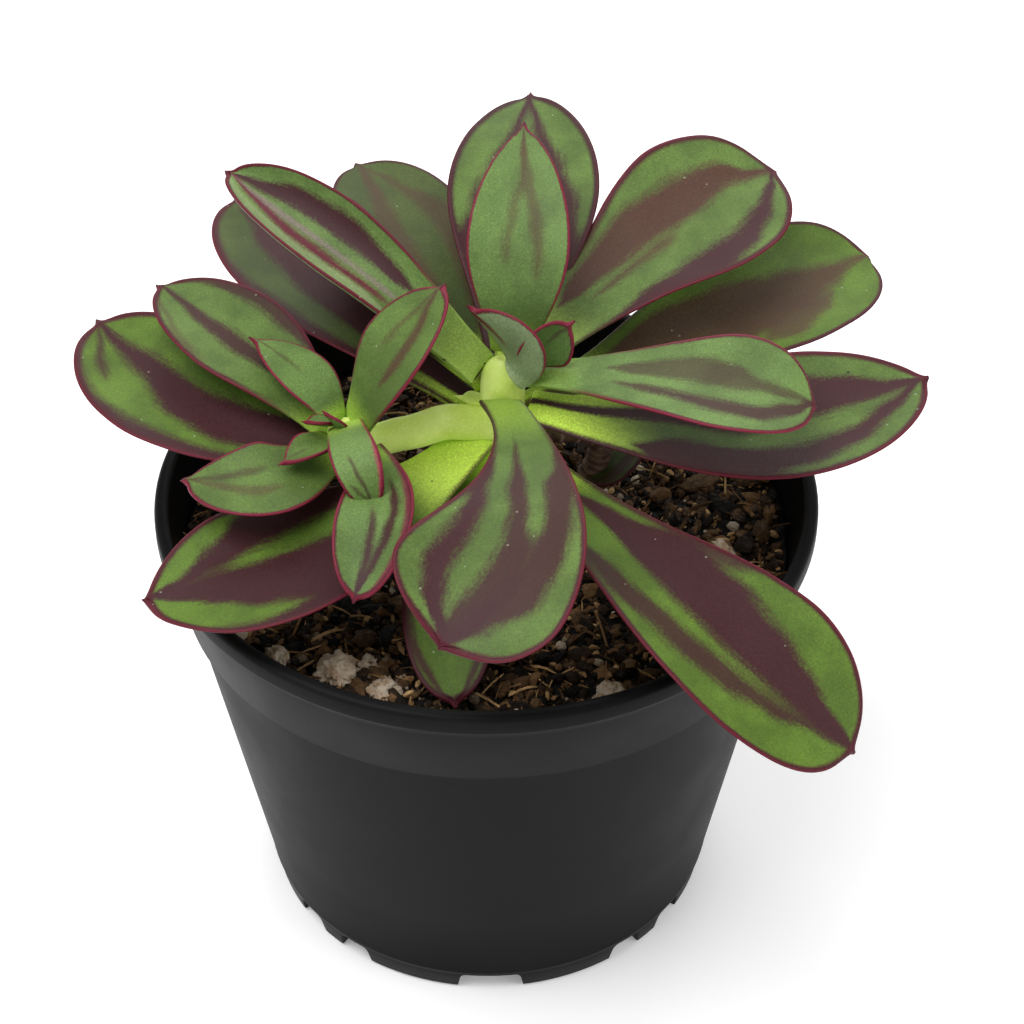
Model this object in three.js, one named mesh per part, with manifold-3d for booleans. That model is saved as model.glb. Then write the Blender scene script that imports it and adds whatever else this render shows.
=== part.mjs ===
// A potted echeveria with two rosettes, in a plastic nursery pot. Millimetres, +Z up.
// The origin is under the middle of everything the plant and its pot cover, on the ground.
import * as THREE from 'three';
import { mergeVertices } from 'three/addons/utils/BufferGeometryUtils.js';
import Module from 'manifold-3d';

const wasm = await Module();
wasm.setup();

// Driving dimensions
const POT_AXIS = new THREE.Vector3(-1.6, 0.9, 0);
const RIM_RADIUS = 54;
const POT_HEIGHT = 80;
const BASE_RADIUS = 38.6;
const WALL = 1.9;
const BAND_BOTTOM = 64;
const BAND_STEP = 0.9;
const LIP_HEIGHT = 3.6;
const FLOOR_BOTTOM = 4.6;
const FLOOR_TOP = 6.6;
const SOIL_LEVEL = 70;
const GAP = 0.3;
const TURNS = 40;

// Feet notches in one quarter of the skirt: middle angle and width in degrees
const NOTCH_HEIGHT = 3.8;
const NOTCHES = [[0, 15], [37, 8], [53, 8]];
const DRAIN_RADIUS = 3.5;
const DRAIN_CIRCLE = 24;
const DRAIN_COUNT = 6;

const LEAF_EDGE = 0.7;
const WOODY_RADIUS = 1.9;
const BRANCH_RADIUS = 2.5;
const CROWN_AXIS = [2.5, 3];
const CROWN_RADIUS = 3.6;

const degrees = THREE.MathUtils.degToRad;
const plant = new THREE.Group();
const pieces = new THREE.Group();
pieces.position.copy(POT_AXIS);
plant.add(pieces);

const plastic = new THREE.MeshStandardMaterial({ color: '#1d1e20', roughness: 0.5, metalness: 0 });
const mix = new THREE.MeshStandardMaterial({ color: '#2e2119', roughness: 1, metalness: 0 });
const pumice = new THREE.MeshStandardMaterial({ color: '#c9b8a4', roughness: 0.95, metalness: 0 });
const bark = new THREE.MeshStandardMaterial({ color: '#7a5b48', roughness: 0.85, metalness: 0 });
const paleStem = new THREE.MeshStandardMaterial({ color: '#b9cf6a', roughness: 0.5, metalness: 0 });
const youngLeaf = new THREE.MeshStandardMaterial({ color: '#8fb070', roughness: 0.55, metalness: 0 });
const oldLeaf = new THREE.MeshStandardMaterial({ color: '#5c6a40', roughness: 0.55, metalness: 0 });

// Closed three.js geometry to manifold solid and back
function solid(geometry) {
  const bare = geometry.index ? geometry.clone() : mergeVertices(geometry);
  bare.deleteAttribute('normal');
  bare.deleteAttribute('uv');
  const welded = mergeVertices(bare, 1e-4);
  const vertProperties = new Float32Array(welded.attributes.position.array);
  const triVerts = new Uint32Array(welded.index.array);
  return new wasm.Manifold(new wasm.Mesh({ numProp: 3, vertProperties, triVerts }));
}

function add(name, body, material) {
  const whole = body.decompose().sort((a, b) => b.volume() - a.volume())[0];
  const mesh = whole.getMesh();
  const geometry = new THREE.BufferGeometry();
  geometry.setAttribute('position', new THREE.BufferAttribute(mesh.vertProperties, 3));
  geometry.setIndex(new THREE.BufferAttribute(mesh.triVerts, 1));
  geometry.computeVertexNormals();
  const node = new THREE.Mesh(geometry, material);
  node.name = name;
  pieces.add(node);
}

// --- Pot: one moulding with a stepped rim band, a rounded lip, a raised floor and feet ---
function wallRadius(z) {
  return BASE_RADIUS + (RIM_RADIUS - 4.3 - BASE_RADIUS) * z / BAND_BOTTOM;
}

function potBody() {
  const lip = POT_HEIGHT - LIP_HEIGHT;
  const bandTop = RIM_RADIUS - 1.2;
  const profile = [
    [0, FLOOR_BOTTOM], [wallRadius(FLOOR_BOTTOM) - WALL, FLOOR_BOTTOM],
    [BASE_RADIUS - WALL, 0], [BASE_RADIUS, 0],
    [wallRadius(BAND_BOTTOM - 0.6), BAND_BOTTOM - 0.6], [wallRadius(BAND_BOTTOM) + BAND_STEP, BAND_BOTTOM],
    [bandTop, lip], [RIM_RADIUS - 0.2, lip + 0.9], [RIM_RADIUS, lip + 1.8],
    [RIM_RADIUS - 0.3, POT_HEIGHT - 0.7], [RIM_RADIUS - 1.1, POT_HEIGHT],
    [RIM_RADIUS - 2, POT_HEIGHT - 0.1], [RIM_RADIUS - 2.6, POT_HEIGHT - 1],
    [wallRadius(BAND_BOTTOM) + BAND_STEP - WALL, BAND_BOTTOM], [wallRadius(60) - WALL, 60],
    [wallRadius(FLOOR_TOP) - WALL, FLOOR_TOP], [0, FLOOR_TOP],
  ].map(([r, z]) => new THREE.Vector2(r, z));
  let body = solid(new THREE.LatheGeometry(profile, TURNS).rotateX(Math.PI / 2));

  for (let quarter = 0; quarter < 4; quarter++) {
    for (const [angle, width] of NOTCHES) {
      const half = BASE_RADIUS * Math.sin(degrees(width / 2));
      const arch = new THREE.Shape();
      arch.moveTo(-half - 0.9, -1);
      arch.lineTo(half + 0.9, -1);
      arch.lineTo(half, NOTCH_HEIGHT - 0.8);
      arch.lineTo(half - 0.8, NOTCH_HEIGHT);
      arch.lineTo(-half + 0.8, NOTCH_HEIGHT);
      arch.lineTo(-half, NOTCH_HEIGHT - 0.8);
      const cutter = new THREE.ExtrudeGeometry(arch, { depth: 8, bevelEnabled: false });
      cutter.rotateX(Math.PI / 2).translate(0, BASE_RADIUS + 4, 0);
      cutter.rotateZ(degrees(quarter * 90 + angle));
      body = body.subtract(solid(cutter));
    }
  }
  for (let i = 0; i < DRAIN_COUNT; i++) {
    const drain = new THREE.CylinderGeometry(DRAIN_RADIUS, DRAIN_RADIUS, 6, 12).rotateX(Math.PI / 2);
    drain.translate(DRAIN_CIRCLE, 0, FLOOR_BOTTOM + 1).rotateZ(2 * Math.PI * i / DRAIN_COUNT);
    body = body.subtract(solid(drain));
  }
  return body;
}

// --- Stems ---
function tube(points, radius, steps) {
  const section = new THREE.Shape();
  section.absarc(0, 0, radius, 0, 2 * Math.PI);
  const path = new THREE.CatmullRomCurve3(points.map((p) => new THREE.Vector3(...p)));
  const geometry = new THREE.ExtrudeGeometry(section, {
    extrudePath: path, steps, curveSegments: 5, bevelEnabled: false });
  return solid(geometry);
}

const WOODY_PATH = [[13, 10, 58], [14.5, 7, 71], [17, 5.5, 78], [18.5, 5, 82], [18, 4.3, 86.5],
  [11.5, 3.3, 88.5], [5, 3, 86]];
const BRANCH_PATH = [[1, 1, 92], [-6, -0.5, 93.5], [-13, -2, 92.5], [-19, -3.5, 92], [-22, -5, 93.5],
  [-22.6, -6, 96.5]];

function crownStem(grow) {
  const r = CROWN_RADIUS + grow;
  const profile = [[0, 83 - grow], [r - 1.2, 83 - grow], [r, 85], [r, 100], [r - 0.8, 103],
    [0, 104.5 + grow]].map(([x, z]) => new THREE.Vector2(x, z));
  return solid(new THREE.LatheGeometry(profile, 14).rotateX(Math.PI / 2).translate(...CROWN_AXIS, 0));
}

// --- Leaves ---
// Each leaf is a paddle on a narrow petiole. foot, middle and tip are points on its midrib.
// width: widest part; fold: how far the section curls up, in degrees a side; roll: turn about the
// midrib; waist: petiole width over blade width; belly: where along the leaf it is widest;
// neck: above 1 keeps the petiole narrow for longer; point: 0.5 is a round end, 0.8 a pointed
// one; thick: at the midrib; face: heading of the back.
const LEAVES = [
  ['leaf_right_front', [6, -2, 87], [33.5, -41.5, 86], [54.5, -55, 73],
    { width: 29, belly: 0.72, point: 0.5, neck: 1.1 }],
  ['leaf_front_low', [1, -1.5, 87.5], [-5.5, -27, 81], [-5, -44.5, 73],
    { width: 15, waist: 0.4, belly: 0.66, point: 0.5 }],
  ['leaf_right_back', [6.5, 4, 91.5], [48.5, 25, 99], [64.5, 33.5, 101],
    { width: 28.5, roll: 8, point: 0.5 }],
  ['leaf_left_front', [-1.5, 0, 90], [-30, -27, 86.5], [-52.5, -33, 85],
    { width: 28.5, waist: 0.3, belly: 0.68 }],
  ['leaf_left_back', [-1.5, 5.5, 92], [-30, 34, 98], [-43.5, 56, 99], { width: 24, roll: -5 }],
  ['leaf_back_left', [1, 7, 94.5], [-12.5, 33.5, 106], [-22, 51, 109], { width: 23 }],
  ['leaf_right_low', [6.5, 0.5, 95.5], [47, -3.5, 94.5], [71, 4.5, 98],
    { width: 26.5, roll: 12, belly: 0.64, point: 0.65 }],
  ['leaf_back', [3, 7, 97], [6.5, 35, 112], [8, 60.5, 117], { width: 26, point: 0.62 }],
  ['leaf_front', [2, -1.5, 98], [4, -39.5, 104.5], [-7, -58, 98],
    { width: 28.5, waist: 0.25, belly: 0.84, point: 0.45, neck: 1.35 }],
  ['leaf_back_sliver', [-1.2, 5, 98.5], [-17.5, 20.5, 108], [-25.5, 39, 112], { width: 11, waist: 0.45 }],
  ['leaf_left_folded', [-1, 3.5, 100.5], [-24, 16.5, 115.5], [-42, 32, 120],
    { width: 17.5, fold: 75, roll: -20, waist: 0.45 }],
  ['leaf_right_near', [6.5, 2, 101], [36, -9, 106], [51, -11.5, 104.5],
    { width: 22.5, roll: 5, belly: 0.68, point: 0.5 }],
  ['leaf_right_high', [6.2, 5, 101.5], [34, 29, 111.5], [48.5, 39, 115],
    { width: 30, roll: 10, belly: 0.66, point: 0.52, neck: 1.1 }],
  ['leaf_back_upright', [4.2, 6, 103], [5.5, 12.5, 121], [6.5, 29, 131],
    { width: 16.8, waist: 0.42, belly: 0.55, point: 0.68, thick: 2 }],
  ['leaf_young_front', [4, -0.5, 103], [3.5, 0, 109], [-3, 3, 114],
    { width: 12, fold: 35, face: -120, roll: -15, waist: 0.5, belly: 0.55, thick: 1.6 }],
  ['leaf_young_right', [6, 1, 104], [10, 0.5, 109], [14, 1.5, 112],
    { width: 10.5, fold: 45, face: 100, waist: 0.5, belly: 0.55, point: 0.6, thick: 1.6 }],
  ['leaf_low_sliver', [17, 4, 78.5], [21.5, 4, 80], [27.5, 6.5, 84], { width: 8, thick: 1.6 }],
  ['side_leaf_left_low', [-24.8, -3.5, 91.5], [-48.5, 5, 95], [-65, 27, 94],
    { width: 27, roll: -8, waist: 0.35 }],
  ['side_leaf_left', [-24.2, -4, 94.5], [-39.5, 9.5, 102.5], [-54, 24.5, 103],
    { width: 19, roll: -5, waist: 0.35, point: 0.6 }],
  ['side_leaf_near_left', [-24.5, -6, 93], [-35.5, -17.5, 95], [-47.5, -15, 94],
    { width: 14.5, roll: -15, waist: 0.4, belly: 0.55, point: 0.65 }],
  ['side_leaf_hanging', [-19, -6.5, 92], [-16.5, -29, 95.5], [-20, -40.5, 91],
    { width: 14, fold: 50, roll: 10, waist: 0.45, point: 0.48 }],
  ['side_leaf_back', [-20.5, -4, 95], [-13, -2.5, 110], [-6, 4.5, 117],
    { width: 15.5, waist: 0.45, belly: 0.6 }],
  ['side_leaf_upright', [-24, -4.5, 97], [-29.5, 0.5, 103], [-37.5, 6.5, 105.5],
    { width: 10, waist: 0.5, belly: 0.55, point: 0.75, thick: 1.6 }],
  ['side_leaf_front', [-22, -6, 97], [-19, -20, 101], [-15.5, -21.5, 95],
    { width: 9.5, roll: 10, waist: 0.75, belly: 0.55, point: 0.45, thick: 1.8 }],
  ['side_leaf_small', [-24.5, -8, 96.5], [-28, -13.5, 98], [-32, -16.5, 98],
    { width: 7, fold: 45, waist: 0.6, belly: 0.5, point: 0.7, thick: 1.4 }],
  ['side_leaf_tiny_tall', [-22.8, -7.2, 97.5], [-23.5, -9.5, 101], [-25.3, -10, 103.5],
    { width: 3.6, fold: 45, waist: 0.7, belly: 0.45, point: 0.8, thick: 1 }],
  ['side_leaf_tiny_low', [-24, -6, 98.2], [-26.2, -8.5, 100], [-28.5, -10.8, 102],
    { width: 3.8, fold: 45, waist: 0.7, belly: 0.45, point: 0.7, thick: 1 }],
  ['bract_main', [-0.8, 3.2, 95], [-3, 3, 95.6], [-5, 3, 96.2],
    { width: 3.6, waist: 0.9, belly: 0.5, thick: 1.2 }],
  ['bract_side', [-19, -2.5, 93.6], [-18, -1.4, 95], [-17.5, -0.6, 96.6],
    { width: 3, waist: 0.9, belly: 0.5, thick: 1 }],
];

function leafSolid([, foot, middle, tip, options], grow) {
  const { width, fold = 25, roll = 0, waist = 0.28, belly = 0.62, point = 0.55, neck = 1, thick = 2.4,
    face } = options;
  const start = new THREE.Vector3(...foot);
  const end = new THREE.Vector3(...tip);
  // the control point that makes the curve pass the middle point at 0.6 of its parameter
  const bend = new THREE.Vector3(...middle).addScaledVector(start, -0.16).addScaledVector(end, -0.36);
  const midrib = new THREE.QuadraticBezierCurve3(start, bend.divideScalar(0.48), end);
  const heading = face === undefined ? Math.atan2(tip[1] - foot[1], tip[0] - foot[0]) : degrees(face);
  const across = new THREE.Vector3(-Math.sin(heading), Math.cos(heading), 0);

  const small = width < 12;
  const geometry = new THREE.BoxGeometry(2, 1, 2, small ? 2 : 4, small ? 6 : 10, 1);
  geometry.deleteAttribute('normal');
  geometry.deleteAttribute('uv');
  const vertices = geometry.attributes.position;
  const point3 = new THREE.Vector3();
  for (let i = 0; i < vertices.count; i++) {
    const v = -vertices.getX(i);
    const t = vertices.getY(i) + 0.5;
    const centre = midrib.getPoint(t);
    const tangent = midrib.getTangent(t);
    const side = across.clone().addScaledVector(tangent, -across.dot(tangent)).normalize();
    side.applyAxisAngle(tangent, degrees(roll));
    const up = tangent.clone().cross(side);
    const blade = t < belly ? waist + (1 - waist) * THREE.MathUtils.smoothstep((t / belly) ** neck, 0, 1)
      : Math.max(1 - ((t - belly) / (1 - belly)) ** 2, 0) ** point;
    const half = Math.max(width / 2 * blade, 0.4) + grow;
    const curl = degrees(fold);
    const angle = curl * v;
    const depth = (LEAF_EDGE + (thick * (1.25 - 0.6 * t) - LEAF_EDGE) * (1 - v * v)) / 2 + grow;
    point3.copy(centre).addScaledVector(side, half * Math.sin(angle) / curl);
    point3.addScaledVector(up, half * (1 - Math.cos(angle)) / curl);
    const normal = up.multiplyScalar(Math.cos(angle)).addScaledVector(side, -Math.sin(angle));
    point3.addScaledVector(normal, vertices.getZ(i) * depth);
    point3.addScaledVector(tangent, (t < 0.001 ? -grow : 0) + (t > 0.999 ? grow : 0));
    vertices.setXYZ(i, point3.x, point3.y, point3.z);
  }
  return solid(geometry);
}

// --- Loose pumice grains, half sunk in the mix: x, y and size ---
const GRAINS = [
  [-40, -24.5, 4.6], [-33, -31, 5], [-23, -34, 6.4], [-16, -38.5, 5], [-18.5, -33, 4.2],
  [5, -45.5, 4.4], [18.5, -40, 5], [42, -18.5, 4.4], [38, -6.5, 4.6], [12.5, -1, 4.2],
  [-3, -11, 3.6], [-44.5, -7, 3.8],
];

function grainSolid([x, y, size], index, grow) {
  const geometry = new THREE.IcosahedronGeometry(size / 2 + grow, 1);
  geometry.deleteAttribute('normal');
  geometry.deleteAttribute('uv');
  const lump = mergeVertices(geometry);
  const vertices = lump.attributes.position;
  const p = new THREE.Vector3();
  for (let i = 0; i < vertices.count; i++) {
    p.fromBufferAttribute(vertices, i);
    p.multiplyScalar(1 + 0.14 * Math.sin(3.1 * i + 2.3 * index));
    vertices.setXYZ(i, x + p.x, y + p.y, SOIL_LEVEL + size * 0.12 + p.z * 0.8);
  }
  return solid(lump);
}

// --- Potting mix: fills the pot, with an uneven top, and sockets for what stands in it ---
function soilBody(cutters) {
  const inner = (z) => wallRadius(z) - WALL - GAP;
  const edge = RIM_RADIUS - 4.6;
  const profile = [[0, FLOOR_TOP + GAP], [inner(FLOOR_TOP + GAP) - 0.2, FLOOR_TOP + GAP],
    [inner(60) - 0.2, 60], [edge - 0.6, SOIL_LEVEL - 0.6], [edge * 0.82, SOIL_LEVEL],
    [edge * 0.6, SOIL_LEVEL], [edge * 0.36, SOIL_LEVEL], [edge * 0.15, SOIL_LEVEL],
    [0, SOIL_LEVEL]].map(([r, z]) => new THREE.Vector2(r, z));
  const geometry = new THREE.LatheGeometry(profile, 30).rotateX(Math.PI / 2);
  const vertices = geometry.attributes.position;
  for (let i = 0; i < vertices.count; i++) {
    const [x, y, z] = [vertices.getX(i), vertices.getY(i), vertices.getZ(i)];
    const uneven = Math.sin(0.31 * x + 1.2) * Math.cos(0.27 * y) + 0.5 * Math.sin(0.9 * x - 0.7 * y);
    if (z > SOIL_LEVEL - 0.1) vertices.setZ(i, z + 0.7 * uneven);
  }
  let body = solid(geometry);
  for (const cutter of cutters) body = body.subtract(cutter);
  return body;
}

// --- Assembly: what is put in first keeps its full shape, and later pieces are cut clear of it ---
const taken = [];
function place(name, make, material) {
  let body = make(0);
  const bounds = body.boundingBox();
  for (const other of taken) {
    const clear = [0, 1, 2].some((axis) => other.box.min[axis] > bounds.max[axis]
      || other.box.max[axis] < bounds.min[axis]);
    if (!clear) body = body.subtract(other.body);
  }
  const fat = make(GAP + 0.05);
  taken.push({ body: fat, box: fat.boundingBox() });
  add(name, body, material);
  return fat;
}

add('pot', potBody(), plastic);
const sunk = [place('stem_woody', (grow) => tube(WOODY_PATH, WOODY_RADIUS + grow, 16), bark)];
place('stem_crown', crownStem, paleStem);
place('stem_branch', (grow) => tube(BRANCH_PATH, BRANCH_RADIUS + grow, 10), paleStem);
GRAINS.forEach((grain, index) => {
  const name = `grain_${String(index + 1).padStart(2, '0')}`;
  sunk.push(place(name, (grow) => grainSolid(grain, index, grow), pumice));
});
for (const leaf of LEAVES) {
  place(leaf[0], (grow) => leafSolid(leaf, grow), leaf[4].width < 20 ? youngLeaf : oldLeaf);
}
add('potting_mix', soilBody(sunk), mix);

export default plant;
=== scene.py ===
import math
import random
import bpy
import numpy as np
from mathutils import Matrix, Vector, noise


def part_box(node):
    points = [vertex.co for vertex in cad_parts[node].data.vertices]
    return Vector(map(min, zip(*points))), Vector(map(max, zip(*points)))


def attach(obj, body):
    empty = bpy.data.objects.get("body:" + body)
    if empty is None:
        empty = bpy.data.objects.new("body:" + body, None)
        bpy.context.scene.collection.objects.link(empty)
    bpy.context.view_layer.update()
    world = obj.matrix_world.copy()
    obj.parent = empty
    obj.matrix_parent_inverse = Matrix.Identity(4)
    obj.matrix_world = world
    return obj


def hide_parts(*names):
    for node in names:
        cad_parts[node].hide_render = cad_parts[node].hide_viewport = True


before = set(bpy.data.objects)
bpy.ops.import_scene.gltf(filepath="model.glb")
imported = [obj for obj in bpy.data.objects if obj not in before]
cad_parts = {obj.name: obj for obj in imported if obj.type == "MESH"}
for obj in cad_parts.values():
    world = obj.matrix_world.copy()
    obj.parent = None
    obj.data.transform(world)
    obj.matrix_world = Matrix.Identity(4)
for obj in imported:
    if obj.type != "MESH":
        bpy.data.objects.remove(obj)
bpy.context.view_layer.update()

# ---------------------------------------------------------------------------
# Studio: a pale floor, soft light from above and in front, and a camera that looks
# down into the pot from a little above. The pot's own box gives the places.
# ---------------------------------------------------------------------------
pot_low, pot_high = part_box("pot")
axis_x = (pot_low[0] + pot_high[0]) / 2
axis_y = (pot_low[1] + pot_high[1]) / 2
rim_radius = (pot_high[0] - pot_low[0]) / 2
pot_height = pot_high[2]

bpy.ops.object.select_all(action="DESELECT")
bpy.ops.object.camera_add(location=(axis_x, axis_y - 0.326, 0.351),
                          rotation=(math.radians(49.67), 0, math.radians(-0.73)))
camera = bpy.context.object
camera.name = "camera"
camera.data.sensor_width = 36
camera.data.lens = 91.4
camera.data.clip_start = 0.01
bpy.context.scene.camera = camera
bpy.context.scene.view_settings.view_transform = "Standard"

bpy.ops.mesh.primitive_plane_add(size=6, location=(axis_x, axis_y, -0.0002))
floor = bpy.context.object
floor.name = "floor"
floor_paint = bpy.data.materials.new("white_sweep")
floor_paint.use_nodes = True
floor_shader = floor_paint.node_tree.nodes["Principled BSDF"]
floor_shader.inputs["Base Color"].default_value = (0.93, 0.93, 0.93, 1)
floor_shader.inputs["Roughness"].default_value = 0.9
floor_shader.inputs["Specular IOR Level"].default_value = 0.0
floor_shader.inputs["Emission Color"].default_value = (1, 1, 1, 1)
floor_shader.inputs["Emission Strength"].default_value = 0.2
floor.data.materials.append(floor_paint)

world = bpy.data.worlds.new("studio")
world.use_nodes = True
world.node_tree.nodes["Background"].inputs["Color"].default_value = (1, 1, 1, 1)
world.node_tree.nodes["Background"].inputs["Strength"].default_value = 0.55
bpy.context.scene.world = world

softboxes = [("key_softbox", (-0.35, -0.15, 1.0), 0.8, 8.5), ("fill_softbox", (0.75, -0.4, 0.6), 0.6, 2.5),
             ("back_softbox", (0.1, 0.8, 0.8), 0.8, 4.0)]
for light_name, place, size, power in softboxes:
    bpy.ops.object.light_add(type="AREA", location=place)
    lamp = bpy.context.object
    lamp.name = light_name
    lamp.data.shape = "DISK"
    lamp.data.size = size
    lamp.data.energy = power
    aim = Vector((axis_x, axis_y, 0.06)) - Vector(place)
    lamp.rotation_euler = aim.to_track_quat("-Z", "Y").to_euler()


# ---------------------------------------------------------------------------
# Pot: one thin moulding of black plastic, with a stepped band under a rounded lip, a
# raised floor with drain holes, and notches that cut the skirt into feet.
# ---------------------------------------------------------------------------
def begin():
    """Nothing selected, so that an operator acts on the new piece only."""
    if bpy.context.object and bpy.context.object.mode != "OBJECT":
        bpy.ops.object.mode_set(mode="OBJECT")
    bpy.ops.object.select_all(action="DESELECT")


def settle(piece):
    """Puts the piece's place into its mesh."""
    begin()
    bpy.context.view_layer.objects.active = piece
    piece.select_set(True)
    bpy.ops.object.transform_apply(location=True, rotation=True, scale=True)


def apply_modifier(piece, kind, **settings):
    bpy.context.view_layer.objects.active = piece
    modifier = piece.modifiers.new(kind.lower(), kind)
    for setting, value in settings.items():
        setattr(modifier, setting, value)
    bpy.ops.object.modifier_apply(modifier=modifier.name)


def smooth(piece):
    piece.data.polygons.foreach_set("use_smooth", [True] * len(piece.data.polygons))


def select_open_edges():
    bpy.ops.mesh.select_all(action="DESELECT")
    bpy.ops.mesh.select_mode(type="EDGE")
    bpy.ops.mesh.select_non_manifold()


def face_outwards():
    """All faces turned outwards, and edit mode left."""
    bpy.ops.mesh.select_mode(type="VERT")
    bpy.ops.mesh.select_all(action="SELECT")
    bpy.ops.mesh.normals_make_consistent(inside=False)
    bpy.ops.object.mode_set(mode="OBJECT")


def turned(name, outline, sides):
    """A closed turned shape: the outline's (radius, height) points, spun round the pot's axis."""
    begin()
    radius, height = outline[0]
    bpy.ops.mesh.primitive_circle_add(vertices=sides, radius=radius, fill_type="NGON",
                                      location=(axis_x, axis_y, height))
    piece = bpy.context.object
    piece.name = name
    bpy.ops.object.mode_set(mode="EDIT")
    bpy.ops.mesh.select_all(action="SELECT")
    bpy.ops.mesh.delete(type="ONLY_FACE")
    bpy.ops.mesh.select_all(action="SELECT")
    for next_radius, next_height in outline[1:]:
        bpy.ops.mesh.extrude_edges_move(
            TRANSFORM_OT_translate={"value": (0, 0, next_height - height)})
        scale = next_radius / radius
        bpy.ops.transform.resize(value=(scale, scale, 1), center_override=(axis_x, axis_y, next_height))
        radius, height = next_radius, next_height
    bpy.ops.mesh.edge_face_add()
    select_open_edges()
    bpy.ops.mesh.edge_face_add()
    face_outwards()
    settle(piece)
    return piece


mm = 0.001
base_radius = rim_radius - 15.4 * mm
wall = 1.9 * mm
band_bottom = 64 * mm


def wall_radius(height):
    return base_radius + (rim_radius - 4.3 * mm - base_radius) * height / band_bottom


pot_outline = [(4 * mm, 4.6 * mm), (wall_radius(4.6 * mm) - wall, 4.6 * mm)]
pot_outline += [(base_radius - wall, 0.3 * mm), (base_radius - wall + 0.3 * mm, 0)]
pot_outline += [(base_radius - 0.3 * mm, 0), (base_radius, 0.3 * mm)]
pot_outline += [(wall_radius(z * mm), z * mm) for z in (3.6, 4.2)]
pot_outline += [(wall_radius(z * mm) + 0.12 * mm, z * mm) for z in (4.5, 4.9)]
pot_outline += [(wall_radius(z * mm), z * mm) for z in (5.3, 20, 40, 62.4, 63.2)]
pot_outline += [(wall_radius(63.3 * mm) + 0.55 * mm, 63.5 * mm), (wall_radius(64 * mm) + 0.9 * mm, 64.0 * mm)]
pot_outline += [(rim_radius - 1.6 * mm, 74.5 * mm), (rim_radius - 1.15 * mm, 76 * mm)]
for turn in range(5):
    angle = math.radians(-80 + 20 * turn)
    pot_outline.append((rim_radius + 0.6 * mm * (math.cos(angle) - 1), 77.1 * mm + 0.6 * mm * math.sin(angle)))
for turn in range(6):
    angle = math.radians(18 * turn)
    pot_outline.append((rim_radius + 1.0 * mm * (math.cos(angle) - 1),
                        pot_height + 1.0 * mm * (math.sin(angle) - 1)))
for turn in range(6):
    angle = math.radians(90 + 17 * turn)
    pot_outline.append((rim_radius + 1.0 * mm * (math.cos(angle) - 1.45),
                        pot_height + 1.0 * mm * (math.sin(angle) - 1)))
pot_outline += [(rim_radius - 2.9 * mm, 76 * mm), (wall_radius(64 * mm) + 0.9 * mm - wall, 64 * mm)]
pot_outline += [(wall_radius(60 * mm) - wall, 60 * mm), (wall_radius(6.6 * mm) - wall, 6.6 * mm),
                (4 * mm, 6.6 * mm)]
pot = turned("nursery_pot", pot_outline, 144)

notch_height = 3.8 * mm
notches = [(quarter * 90 + middle, width) for quarter in range(4) for middle,
           width in ((0, 15), (37, 8), (53, 8))]
cutters = []
for middle, width in notches:
    begin()
    half = base_radius * math.sin(math.radians(width / 2))
    bpy.ops.mesh.primitive_cube_add(size=1, location=(0, base_radius, notch_height / 2 - 1 * mm))
    cutter = bpy.context.object
    cutter.scale = (2 * half, 8 * mm, notch_height + 2 * mm)
    settle(cutter)
    for corner in cutter.data.vertices:
        if corner.co.z < 0:
            corner.co.x *= 1 + 0.9 * mm / half
    apply_modifier(cutter, "BEVEL", width=0.9 * mm, segments=3, limit_method="ANGLE")
    cutter.rotation_euler = (0, 0, math.radians(middle))
    cutter.location = (axis_x, axis_y, 0)
    settle(cutter)
    cutters.append(cutter)
drain_holes, drain_radius, drain_circle = 6, 3.5 * mm, 24 * mm
for hole in range(drain_holes):
    begin()
    angle = math.radians(360 / drain_holes * hole)
    bpy.ops.mesh.primitive_cylinder_add(vertices=32, radius=drain_radius, depth=6 * mm, location=(
        axis_x + drain_circle * math.cos(angle), axis_y + drain_circle * math.sin(angle), 5.6 * mm))
    cutters.append(bpy.context.object)
begin()
for cutter in cutters:
    cutter.select_set(True)
bpy.context.view_layer.objects.active = cutters[0]
bpy.ops.object.join()
cutters = bpy.context.object
apply_modifier(pot, "BOOLEAN", object=cutters, operation="DIFFERENCE", solver="EXACT")
bpy.data.objects.remove(cutters)
apply_modifier(pot, "BEVEL", width=0.25 * mm, segments=2, limit_method="ANGLE", angle_limit=math.radians(50))
begin()
pot.select_set(True)
bpy.ops.object.shade_smooth_by_angle(angle=math.radians(38))


def new_material(name):
    """A material, with its node tree and its Principled shader."""
    material = bpy.data.materials.new(name)
    material.use_nodes = True
    tree = material.node_tree
    shader = tree.nodes["Principled BSDF"]
    return material, tree, shader


def add_node(tree, kind, inputs=None, **settings):
    """A node of that kind: settings are its own, and inputs are numbers or sockets by name."""
    node = tree.nodes.new(kind)
    for setting, value in settings.items():
        setattr(node, setting, value)
    for socket, value in (inputs or {}).items():
        if isinstance(value, bpy.types.NodeSocket):
            tree.links.new(value, node.inputs[socket])
        else:
            node.inputs[socket].default_value = value
    return node


def math_node(tree, operation, *values):
    node = add_node(tree, "ShaderNodeMath", operation=operation)
    for place, value in enumerate(values):
        if isinstance(value, bpy.types.NodeSocket):
            tree.links.new(value, node.inputs[place])
        else:
            node.inputs[place].default_value = value
    return node.outputs[0]


def times(tree, first, second):
    return math_node(tree, "MULTIPLY", first, second)


def object_place(tree):
    return add_node(tree, "ShaderNodeTexCoord").outputs["Object"]


def noise_value(tree, vector, scale, detail, roughness=0.5):
    return add_node(tree, "ShaderNodeTexNoise", {"Vector": vector, "Scale": scale, "Detail": detail,
                    "Roughness": roughness}).outputs["Fac"]


def add_bump(tree, shader, height, strength, distance):
    bump = add_node(tree, "ShaderNodeBump", {"Height": height, "Strength": strength, "Distance": distance})
    tree.links.new(bump.outputs["Normal"], shader.inputs["Normal"])


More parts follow.
